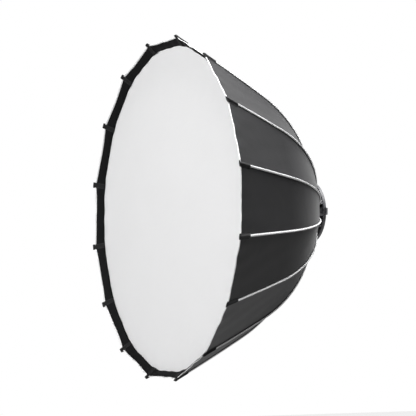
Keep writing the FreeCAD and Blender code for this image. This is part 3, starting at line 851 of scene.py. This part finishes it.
class SOFTBOX_OT_canopy(bpy.types.Operator):
    """Make the canopy: each rib carries the cloth half-way to its neighbours"""
    bl_idname = "softbox.canopy"
    bl_label = "Canopy"

    ROW = 0.0125
    SEWN_ON = ("rod_sleeve", "tip_pocket", "rim_binding")

    def execute(self, context):
        size = context.scene.softbox_sizes
        materials = [material("black_coated_polyester"), material("silver_lining")]
        borders = np.linspace(HEM_AT, RIM_AT, size.bands + 1)
        for number in range(RIBS):
            for band in range(size.bands):
                self.band(number, band, borders, size, materials)
        return {"FINISHED"}

    def band(self, number, band, borders, size, materials):
        low, high = borders[band], borders[band + 1]
        last = band == size.bands - 1
        rows = max(4, int((high - low) / (self.ROW / (2 if last else 1))))
        share = np.linspace(0, 1, rows + 1)[:, None]

        def along(panel, c):
            end = rim_edge(panel, c, size) if last else high + 0 * c
            return low + (end[None, :] - low) * share

        points, left, right, uvs = creased_grid(number, along, size, size.columns)
        name = f"canopy_cloth_{rib_name(number)}_{chr(ord('a') + band)}"
        obj = grid_cloth(name, points, left, right, uvs, size.cloth, materials)
        squash_to_rib(obj, number, min(1.0, folded_share(low)))
        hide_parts(f"canopy_panel_{rib_name(number)}")
        wide = 2 * float(rod_at(high)[0]) * math.sin(PITCH / 2)
        narrow = 2 * float(rod_at(low)[0]) * math.sin(PITCH / 2)


class SOFTBOX_OT_lip(bpy.types.Operator):
    """Make the black band that turns in from the rim to the front diffuser"""
    bl_idname = "softbox.lip"
    bl_label = "Lip"

    ROWS = 7
    THICK = 0.0008

    def execute(self, context):
        size = context.scene.softbox_sizes
        materials = [material("lip_polyester")]
        for number in range(RIBS):
            parts = []
            for panel, c in halves(number, size.columns):
                v, c = np.meshgrid(np.linspace(0, 1, self.ROWS), c, indexing="ij")
                n = normals_of(lambda across, inwards: lip_points(panel, across, inwards, size), c, v)
                uvs = np.stack([c * PANEL_WIDTH / 2 + PANEL_WIDTH * panel, v * LIP_WIDTH], axis=-1)
                parts.append((lip_points(panel, c, v, size), n * np.sign(-n[..., 1:2]), uvs))
            obj = grid_cloth(f"lip_{rib_name(number)}", *join_halves(parts), self.THICK, materials)
            squash_to_rib(obj, number, RIM_KEEP)
            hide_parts(f"canopy_panel_{rib_name(number)}")
            f"canopy_cloth_{rib_name(number)}_{chr(ord('a') + size.bands - 1)}"
        return {"FINISHED"}


class SOFTBOX_OT_binding(bpy.types.Operator):
    """Make the thin pale binding that edges the rim"""
    bl_idname = "softbox.binding"
    bl_label = "Rim binding"

    WIDTH = 0.0050
    PAST = 0.0018                # the tape's middle past the cloth's edge
    PROUD = 0.0005
    SECTION = 10

    def execute(self, context):
        size = context.scene.softbox_sizes
        materials = [material("edge_binding")]
        turns = np.arange(self.SECTION) / self.SECTION * 2 * math.pi
        for number in range(RIBS):
            sections, uvs = [], []
            for half, (panel, c) in enumerate(halves(number, size.columns)):
                for value in c[half:]:
                    c1 = np.array([value])
                    at = rim_edge(panel, c1, size) + self.PAST
                    centre = panel_points(panel, at, c1, size)[0]
                    normal = panel_normals(panel, at, c1, size)[0]
                    ahead = unit(panel_points(panel, at + STEP, c1, size)[0] - centre)
                    thick = size.cloth / 2 + self.PROUD
                    centre = centre - normal * size.cloth / 2
                    ring = [
                        centre
                        + ahead * math.copysign(abs(math.cos(t)) ** 0.6, math.cos(t)) * self.WIDTH / 2
                        + normal * math.sin(t) * thick
                        for t in turns
                    ]
                    sections.append(ring)
                    across = float(OPENING_R * math.sin(PITCH / 2) * value + PANEL_WIDTH * panel)
                    uvs.append([(across, t * 0.0006) for t in turns])
            obj = loft(f"rim_binding_{rib_name(number)}", np.array(sections), np.array(uvs), materials)
            squash_to_rib(obj, number, RIM_KEEP)
        return {"FINISHED"}


class SOFTBOX_OT_sleeves(bpy.types.Operator):
    """Make the tape sleeve that holds each rod on the outside of the canopy"""
    bl_idname = "softbox.sleeves"
    bl_label = "Rod sleeves"

    STEP = 0.011
    # Half of the section over the rod, as shares of the half width and heights in metres.
    TOP = ((1.0, -0.0030), (0.92, -0.0022), (0.74, -0.0004), (0.50, 0.0015), (0.25, 0.0026), (0.0, 0.0029))
    BOTTOM = ((0.55, -0.0028), (0.0, -0.0024))

    def execute(self, context):
        size = context.scene.softbox_sizes
        start, end = HEM_AT + 0.0015, RIM_AT - 0.012
        s = np.linspace(start, end, int((end - start) / self.STEP))
        run = (s - start) / (end - start)
        half = size.sleeve / 2 * (0.74 + 0.26 * run)
        outline = list(self.TOP) + [(-w, h) for w, h in reversed(self.TOP[:-1])]
        outline += [(-w, h) for w, h in self.BOTTOM[:1]] + [self.BOTTOM[1], self.BOTTOM[0]]
        for number in range(RIBS):
            point, side, out = rib_frame(number, s)
            uneven = 1 + 0.03 * np.sin(61 * s + 1.3 * number) * np.sin(23 * s)
            sections = np.stack([
                point + side * (half * uneven * w)[:, None] + out * h for w, h in outline
            ], axis=1)
            uvs = np.zeros((len(s), len(outline), 2))
            for k, (w, _) in enumerate(outline):
                uvs[:, k, 0] = w * size.sleeve / 2
                uvs[:, k, 1] = s
            obj = loft(f"rod_sleeve_{rib_name(number)}", sections, uvs, [material("twill_tape")])
            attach(obj, f"rib_{rib_name(number)}")
        return {"FINISHED"}


class SOFTBOX_OT_pockets(bpy.types.Operator):
    """Make the webbing pocket over each rod's tip"""
    bl_idname = "softbox.pockets"
    bl_label = "Tip pockets"

    DOME = 0.0066                # half of the width that the rod pushes up
    ACROSS = 15

    def execute(self, context):
        size = context.scene.softbox_sizes
        start, end = RIM_AT - size.pocket_back, RIM_AT + size.pocket_front
        s = np.concatenate([
            [start, start + 0.0006, start + 0.002], np.linspace(start + 0.006, end - 0.004, 13),
            [end - 0.002, end - 0.0008, end],
        ])
        share = np.concatenate([np.linspace(-1, 1, self.ACROSS), np.linspace(1, -1, self.ACROSS)[1:-1]])
        for number in range(RIBS):
            point, side, out = rib_frame(number, s)
            past = np.clip((s - RIM_AT + 0.003) / 0.006, 0, 1)
            past = past * past * (3 - 2 * past)
            nose = np.clip((end - s) / 0.0022, 0, 1) ** 0.5
            tail = np.clip((s - start) / 0.002, 0, 1) ** 0.5
            half = size.pocket_width / 2 * (0.93 + 0.07 * np.minimum(nose, tail))
            sections, uvs = [], []
            for i in range(len(s)):
                ring, ring_uv = [], []
                for k, w in enumerate(share):
                    t = w * half[i]
                    dome = max(0.0, 1 - (t / self.DOME) ** 2) ** 1.5
                    seat = -0.0024 - math.tan(PITCH / 2) * abs(t)
                    soft = 1 - abs(w) ** 6 * 0.5
                    if k < self.ACROSS:
                        on_cloth, free = seat + 0.0013 * soft, -0.0004 - 0.0008 * (1 - soft)
                        low = on_cloth * (1 - past[i]) + free * past[i]
                        crown = 0.0038 + 0.0008 * past[i]
                        h = low + (crown - low) * dome * (0.55 + 0.45 * min(nose[i], tail[i]))
                    else:
                        low = (seat + 0.0002) * (1 - past[i]) + -0.0026 * past[i]
                        h = low - 0.0019 * dome * past[i] * nose[i]
                    ring.append(point[i] + side[i] * t + out[i] * h)
                    ring_uv.append((t, s[i] - start))
                sections.append(ring)
                uvs.append(ring_uv)
            obj = loft(
                f"tip_pocket_{rib_name(number)}", np.array(sections), np.array(uvs),
                [material("black_webbing")], sharp=math.radians(60),
            )
            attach(obj, f"rib_{rib_name(number)}")
        return {"FINISHED"}


class SOFTBOX_OT_facings(bpy.types.Operator):
    """Make the webbing that turns in from each tip pocket and is sewn down on the lip"""
    bl_idname = "softbox.facings"
    bl_label = "Pocket facings"

    HALF = 0.0097
    THICK = 0.0011
    TAB = 0.0092                 # how far it runs out along the tab past the rim
    INSIDE = (0.0028, 0.0036, 0.0050, 0.0053)

    def execute(self, context):
        size = context.scene.softbox_sizes
        half_panel = DIFFUSER_APOTHEM * math.tan(PITCH / 2)
        share = np.array([-1, -0.94, -0.6, -0.25, 0, 0.25, 0.6, 0.94, 1])
        v = np.concatenate([[0.0], np.linspace(0.06, 0.96, 10)])
        out_at = np.array([self.TAB, self.TAB - 0.0012, 0.004, 0.0012])
        for number in range(RIBS):
            a = rib_angle(number)
            lift = (FORWARD - outward(a)) / math.sqrt(2)
            point, side, out = rib_frame(number, RIM_AT + out_at)
            rows = [
                point[i] + np.outer(share * self.HALF, side[i]) - out[i] * inside
                for i, inside in enumerate(self.INSIDE)
            ]
            for value in v:
                row = []
                for w in share:
                    panel, rib_side = (number, -1) if w > 0 else (number - 1, 1)
                    c = np.array([rib_side + w * self.HALF / half_panel])
                    place = lip_points(panel, c, np.array([value]), size)[0]
                    row.append(place + lift * (0.0011 + 0.0009 * max(0.0, 1 - 6 * value)))
                rows.append(np.array(row))
            top = np.array(rows)
            thin = np.array([0.4, 0.9, 1, 1, 1, 1, 1, 0.9, 0.4]) * self.THICK
            under = top - lift * thin[None, :, None]
            sections = np.concatenate([top, under[:, ::-1]], axis=1)
            run = np.concatenate([[0], np.cumsum(np.linalg.norm(np.diff(top[:, 4], axis=0), axis=1))])
            across = np.concatenate([share, share[::-1]]) * self.HALF
            uvs = np.stack(np.broadcast_arrays(across[None, :], run[:, None]), axis=-1)
            obj = loft(
                f"pocket_facing_{rib_name(number)}", sections, uvs, [material("black_webbing")],
                sharp=math.radians(60),
            )
            squash_to_rib(obj, number, RIM_KEEP)
        return {"FINISHED"}


class SOFTBOX_OT_diffuser(bpy.types.Operator):
    """Make the front diffuser, in narrow sectors carried by the hub"""
    bl_idname = "softbox.diffuser"
    bl_label = "Front diffuser"

    RINGS = 22
    COLUMNS = 6
    SLOPE = 0.363                # of the line along which a sector gathers
    KEEP = 0.001
    THICK = 0.0006

    def edge(self, angle):
        """Distance from the axis to the cloth's edge: a polygon with soft corners."""
        off = (angle - rib_angle(0)) % PITCH - PITCH / 2
        reach = DIFFUSER_APOTHEM / np.cos(off)
        return reach - 0.004 * (np.abs(off) / (PITCH / 2)) ** 6

    def height(self, x, z):
        """How far the cloth stands forward of flat."""
        rho, angle = np.hypot(x, z), np.arctan2(z, x)
        out = np.clip(rho / 0.56, 0, 1)
        broad = 0.0022 * np.sin(5.1 * x + 1.3) * np.cos(4.3 * z - 0.7)
        drape = 0.0007 * np.sin(19 * x + 3.2 * np.sin(3.1 * z)) + 0.0005 * np.sin(27 * x + 9 * z)
        edge = np.exp(-(0.572 - rho) / 0.05)
        pucker = 0.0010 * edge * np.sin(46 * angle + 1.2 * np.sin(5 * angle))
        return (broad + drape) * (1 - out ** 4) * out + pucker * out

    def surface(self, x, z):
        """The cloth's y and its slopes by x and by z; the middle is level."""
        by_x = (self.height(x + STEP, z) - self.height(x - STEP, z)) / (2 * STEP)
        by_z = (self.height(x, z + STEP) - self.height(x, z - STEP)) / (2 * STEP)
        by_x[0] = by_z[0] = 0
        return DIFFUSER_Y - self.height(x, z), -by_x, -by_z

    def execute(self, context):
        materials = [material("white_nylon")]
        sectors = 2 * RIBS
        width = 2 * math.pi / sectors
        inner = 1 - np.linspace(0, 1, self.RINGS + 1)[1:, None]
        for sector in range(sectors):
            first = rib_angle(0) + sector * width
            angles = first + np.linspace(0, width, self.COLUMNS + 1)
            edge = self.edge(angles)
            name = f"front_diffuser_{sector + 1:02d}"
            obj = fan_cloth(name, angles, edge, self.RINGS, self.surface, self.THICK, materials)
            inwards = np.concatenate([[DIFFUSER_APOTHEM], (inner * edge).ravel()])
            hem = obj.data.attributes.new("from_edge", "FLOAT", "POINT")
            hem.data.foreach_set("value", np.tile(inwards, 2).astype(np.float32))
            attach(obj, "hub")
            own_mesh(obj)
            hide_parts("front_diffuser")
        return {"FINISHED"}


class SOFTBOX_OT_baffle(bpy.types.Operator):
    """Make the inner baffle, in sectors carried by the hub, and its eight elastic straps"""
    bl_idname = "softbox.baffle"
    bl_label = "Inner baffle"

    RINGS = 9
    COLUMNS = 8
    PULL = 0.006                 # how far its sides pull in between the straps
    SLOPE = 0.13                 # of the line along which a sector gathers
    KEEP = 0.63
    THICK = 0.0008
    RIPPLE = 0.0006
    RIPPLES = (31, 24)           # by x and by z, in radians a metre

    def edge(self, angle):
        """Distance from the axis to the edge of the eight-sided cloth."""
        pitch = 2 * PITCH
        off = (angle - rib_angle(0) + pitch / 2) % pitch - pitch / 2
        side = BAFFLE_R * math.cos(pitch / 2) / np.cos(pitch / 2 - np.abs(off))
        return side - self.PULL * np.sin(math.pi * np.abs(off) / pitch) ** 2

    def surface(self, x, z):
        """The cloth's y and its slopes by x and by z."""
        by_x, by_z = self.RIPPLES
        y = BAFFLE_Y + self.RIPPLE * np.sin(by_x * x) * np.cos(by_z * z)
        slope_x = self.RIPPLE * by_x * np.cos(by_x * x) * np.cos(by_z * z)
        slope_z = -self.RIPPLE * by_z * np.sin(by_x * x) * np.sin(by_z * z)
        return y, slope_x, slope_z

    def execute(self, context):
        for number in range(RIBS):
            self.sector(number)
        for number in range(0, RIBS, 2):
            self.strap(number)
        return {"FINISHED"}

    def sector(self, number):
        """One sixteenth of the cloth, with its middle line under a rod."""
        a = rib_angle(number)
        angles = a + np.linspace(-PITCH / 2, PITCH / 2, self.COLUMNS + 1)
        obj = fan_cloth(
            f"inner_baffle_{rib_name(number)}", angles, self.edge(angles), self.RINGS, self.surface,
            self.THICK, [material("baffle_nylon")],
        )
        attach(obj, "hub")
        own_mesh(obj)
        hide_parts("inner_baffle")

    def strap(self, number):
        """One flat strap from a corner of the baffle to the canopy under a rod."""
        a = rib_angle(number)
        out, side = outward(a), sideways(a)
        reach = np.linspace(BAFFLE_R - 0.006, STRAP_END_R, 32)
        run = (reach - reach[0]) / (reach[-1] - reach[0])
        centre = out * reach[:, None]
        centre[:, 1] = BAFFLE_Y - 0.0008 + 0.0005 * np.sin(9 * run)
        half, thick = STRAP_WIDTH / 2, 0.0006
        outline = [(-1, -0.6), (-0.9, -1), (0.9, -1), (1, -0.6), (1, 0.6), (0.9, 1), (-0.9, 1), (-1, 0.6)]
        sections = np.stack([
            centre + side * half * w - FORWARD * thick * h for w, h in outline
        ], axis=1)
        uvs = np.stack([
            np.stack([np.full(len(reach), half * w), reach], axis=-1) for w, _ in outline
        ], axis=1)
        obj = loft(f"baffle_strap_{rib_name(number)}", sections, uvs, [material("black_elastic")])
        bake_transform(obj)
        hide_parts("baffle_straps")


class SOFTBOX_OT_collar(bpy.types.Operator):
    """Make the black collar that closes the gap between the hub and the canopy"""
    bl_idname = "softbox.collar"
    bl_label = "Rear collar"

    ROWS = 14
    COLUMNS = 10
    LENGTH = 0.066
    THICK = 0.0008

    def surface(self, angle, v):
        """Points of the collar; v runs from 0 at the hub to 1 at the canopy's hem."""
        bend = (COLLAR_BEND_R - COLLAR_BORE_R) / (COLLAR_END[0] - COLLAR_BORE_R)
        flat = np.clip(v / bend, 0, 1)
        slope = np.clip((v - bend) / (1 - bend), 0, 1)
        r = COLLAR_BORE_R + (COLLAR_BEND_R - COLLAR_BORE_R) * flat + (COLLAR_END[0] - COLLAR_BEND_R) * slope
        y = COLLAR_FRONT_Y + (COLLAR_END[1] - COLLAR_FRONT_Y) * slope
        pleat = 0.0007 * np.cos(4 * RIBS * angle) * np.clip(v * 3, 0, 1) * np.sin(math.pi * np.clip(v, 0, 1))
        return np.stack([r * np.cos(angle), y - np.abs(pleat), r * np.sin(angle)], axis=-1)

    def execute(self, context):
        materials = [material("collar_polyester")]
        for number in range(RIBS):
            a = rib_angle(number)
            angles = a + np.linspace(-PITCH / 2, PITCH / 2, self.COLUMNS + 1)
            v, angle = np.meshgrid(np.linspace(0, 1, self.ROWS + 1), angles, indexing="ij")
            points = self.surface(angle, v)
            n = normals_of(self.surface, angle, v)
            n *= np.sign(n[..., 1:2])
            uvs = np.stack([angle * 0.1, v * 0.064], axis=-1)
            obj = grid_cloth(
                f"rear_collar_{rib_name(number)}", points, n[:, :-1], n[:, 1:], uvs, self.THICK,
                materials,
            )
            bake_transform(obj)
            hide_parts("rear_collar")
        return {"FINISHED"}


class SOFTBOX_OT_stage(bpy.types.Operator):
    """Make the floor, the lights and the camera"""
    bl_idname = "softbox.stage"
    bl_label = "Stage"

    def area_light(self, name, power, width, place, target):
        bpy.ops.object.light_add(type="AREA", location=place)
        light = bpy.context.object
        light.name = name
        light.data.shape = "SQUARE"
        light.data.size = width
        light.data.energy = power
        light.rotation_euler = (Vector(target) - Vector(place)).to_track_quat("-Z", "Y").to_euler()

    def execute(self, context):
        stage = context.scene.softbox_stage
        bpy.ops.object.select_all(action="DESELECT")
        bpy.ops.mesh.primitive_plane_add(size=60, location=(0, 0, 0))
        floor = bpy.context.object
        floor.name = "floor"
        bpy.ops.object.mode_set(mode="EDIT")
        bpy.ops.mesh.subdivide(number_cuts=3)
        bpy.ops.mesh.select_all(action="SELECT")
        bpy.ops.transform.translate(value=(0, 0, -stage.floor))
        bpy.ops.object.mode_set(mode="OBJECT")
        tree, shader = start_material("pale_floor", roughness=0.9)
        mottle = noise(tree, own_place(tree), Scale=2.0, Detail=3.0)
        tree.links.new(
            blend_colour(tree, mottle, (0.70, 0.70, 0.70), (0.74, 0.74, 0.74)),
            shader.inputs["Base Color"],
        )
        shader.inputs["Emission Color"].default_value = (1, 1, 1, 1)
        seen = add(tree, "ShaderNodeLightPath").outputs["Is Camera Ray"]
        tree.links.new(maths(tree, "MULTIPLY", seen, 0.75), shader.inputs["Emission Strength"])
        floor.data.materials.append(material("pale_floor"))

        middle = (0.0, -0.3, 0.0)
        self.area_light("top_light", stage.key, 2.4, (0.9, 0.1, 2.6), middle)
        self.area_light("low_light", stage.fill, 3.0, (1.6, -0.4, -1.7), middle)
        self.area_light("front_light", stage.front, 3.2, (0.6, -4.6, 0.9), middle)

        world = bpy.data.worlds.new("studio")
        context.scene.world = world
        world.use_nodes = True
        tree = world.node_tree
        tree.nodes.clear()
        seen = add(tree, "ShaderNodeBackground", {"Color": (1, 1, 1, 1), "Strength": 1.0})
        behind = (-math.sin(stage.azimuth), math.cos(stage.azimuth), 0.0)
        way = add(tree, "ShaderNodeTexCoord").outputs["Generated"]
        dot = add(tree, "ShaderNodeVectorMath", {0: way, 1: behind}, operation="DOT_PRODUCT")
        wall = add(tree, "ShaderNodeMapRange", {
            "Value": dot.outputs["Value"], "From Min": 0.6, "From Max": 0.97,
            "To Min": stage.world, "To Max": stage.backdrop,
        }, interpolation_type="SMOOTHSTEP").outputs["Result"]
        soft = add(tree, "ShaderNodeBackground", {"Color": (1, 1, 1, 1), "Strength": wall})
        path = add(tree, "ShaderNodeLightPath")
        mix = add(tree, "ShaderNodeMixShader", {
            0: path.outputs["Is Camera Ray"], 1: soft.outputs[0], 2: seen.outputs[0],
        })
        add(tree, "ShaderNodeOutputWorld", {"Surface": mix.outputs[0]})

        a, e = stage.azimuth, stage.elevation
        back = Vector((math.sin(a) * math.cos(e), -math.cos(a) * math.cos(e), math.sin(e)))
        right = Vector((math.cos(a), math.sin(a), 0.0))
        rim_middle = Vector((0.0, HINGE_Y - DEPTH, 0.0))
        target = rim_middle + right * 0.1576 + Vector((0, 0, 0.003))
        bpy.ops.object.camera_add(location=rim_middle + back * stage.distance)
        camera = bpy.context.object
        camera.name = "camera"
        camera.data.sensor_width = 36
        camera.data.lens = stage.lens
        camera.data.clip_end = 200
        camera.rotation_euler = (target - camera.location).to_track_quat("-Z", "Y").to_euler()
        context.scene.camera = camera
        context.scene.view_settings.view_transform = "Standard"
        return {"FINISHED"}


class SOFTBOX_PT_panel(bpy.types.Panel):
    """Lists the softbox's pieces and their sizes"""
    bl_idname = "SOFTBOX_PT_panel"
    bl_label = "Softbox"
    bl_space_type = "VIEW_3D"
    bl_region_type = "UI"
    bl_category = "Softbox"

    def draw(self, context):
        layout = self.layout
        for operator in OPERATORS:
            layout.operator(operator.bl_idname)
        for group in SETTINGS:
            settings = getattr(context.scene, group)
            box = layout.box()
            for name in settings.__annotations__:
                box.prop(settings, name)


OPERATORS = (
    SOFTBOX_OT_materials,
    SOFTBOX_OT_hardware,
    SOFTBOX_OT_sleeves,
    SOFTBOX_OT_pockets,
    SOFTBOX_OT_binding,
    SOFTBOX_OT_canopy,
    SOFTBOX_OT_facings,
    SOFTBOX_OT_lip,
    SOFTBOX_OT_diffuser,
    SOFTBOX_OT_baffle,
    SOFTBOX_OT_collar,
    SOFTBOX_OT_stage,
)
SETTINGS = {
    "softbox_colours": SoftboxColours,
    "softbox_sizes": SoftboxSizes,
    "softbox_stage": SoftboxStage,
}


def register():
    for cls in (*SETTINGS.values(), *OPERATORS, SOFTBOX_PT_panel):
        bpy.utils.register_class(cls)
    for name, cls in SETTINGS.items():
        setattr(bpy.types.Scene, name, bpy.props.PointerProperty(type=cls))


def unregister():
    for name in SETTINGS:
        delattr(bpy.types.Scene, name)
    for cls in reversed((*SETTINGS.values(), *OPERATORS, SOFTBOX_PT_panel)):
        bpy.utils.unregister_class(cls)


def main():
    register()
    bpy.ops.softbox.materials()
    bpy.ops.softbox.hardware()
    bpy.ops.softbox.sleeves()
    bpy.ops.softbox.pockets()
    bpy.ops.softbox.binding()
    bpy.ops.softbox.canopy()
    bpy.ops.softbox.facings()
    bpy.ops.softbox.lip()
    bpy.ops.softbox.diffuser()
    bpy.ops.softbox.baffle()
    bpy.ops.softbox.collar()
    bpy.ops.softbox.stage()


if __name__ == "__main__":
    main()
